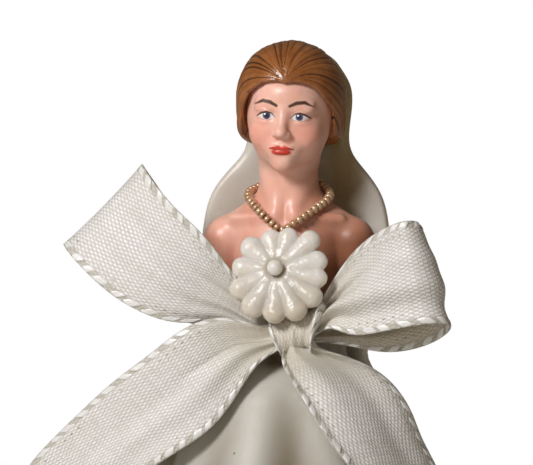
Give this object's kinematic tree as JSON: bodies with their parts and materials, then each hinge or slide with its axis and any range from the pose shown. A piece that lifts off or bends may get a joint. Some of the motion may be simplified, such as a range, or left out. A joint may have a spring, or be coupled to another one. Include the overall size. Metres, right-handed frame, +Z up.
{
  "type": "figural wedding candle",
  "caption": "Bride-figure wax candle with painted bust, wax veil, daisy, bead necklace and ribbon bow; stands on a flat base and burns on a wick behind the head.",
  "frame": {"origin": "on the base plane, straight below the figure's neck", "axes": "+Z up; the figure faces -Y; +X is on the figure's left, the viewer's right"},
  "size_m": [0.1109, 0.0855, 0.168],
  "materials": {
    "white_wax": "cast paraffin wax, soft satin",
    "skin_paint": "painted wax, semi-gloss",
    "hair_paint": "painted wax with combed lines, semi-gloss",
    "veil_wax": "translucent paraffin wax, satin",
    "wick_cotton": "braided cotton",
    "tab_steel": "bare",
    "ribbon_fabric": "woven polyester with satin edges",
    "flower_wax": "cast paraffin wax, satin",
    "glue": "hot-melt glue, glossy",
    "bead_glass": "gold lustred glass seed beads",
    "thread_cotton": "waxed thread"
  },
  "bodies": {
    "root": {"gown": "white_wax", "bust": "skin_paint", "hair": "hair_paint", "veil": "veil_wax", "wick": "wick_cotton", "wick_tab": "tab_steel", "bow_knot": "ribbon_fabric", "bow_loop_left": "ribbon_fabric", "bow_loop_right": "ribbon_fabric", "bow_tail_left": "ribbon_fabric", "bow_tail_right": "ribbon_fabric", "flower_petals": "flower_wax", "flower_centre": "flower_wax", "flower_glue": "glue", "bow_glue": "glue", "necklace_beads": "bead_glass", "necklace_thread": "thread_cotton"}
  },
  "joints": []
}
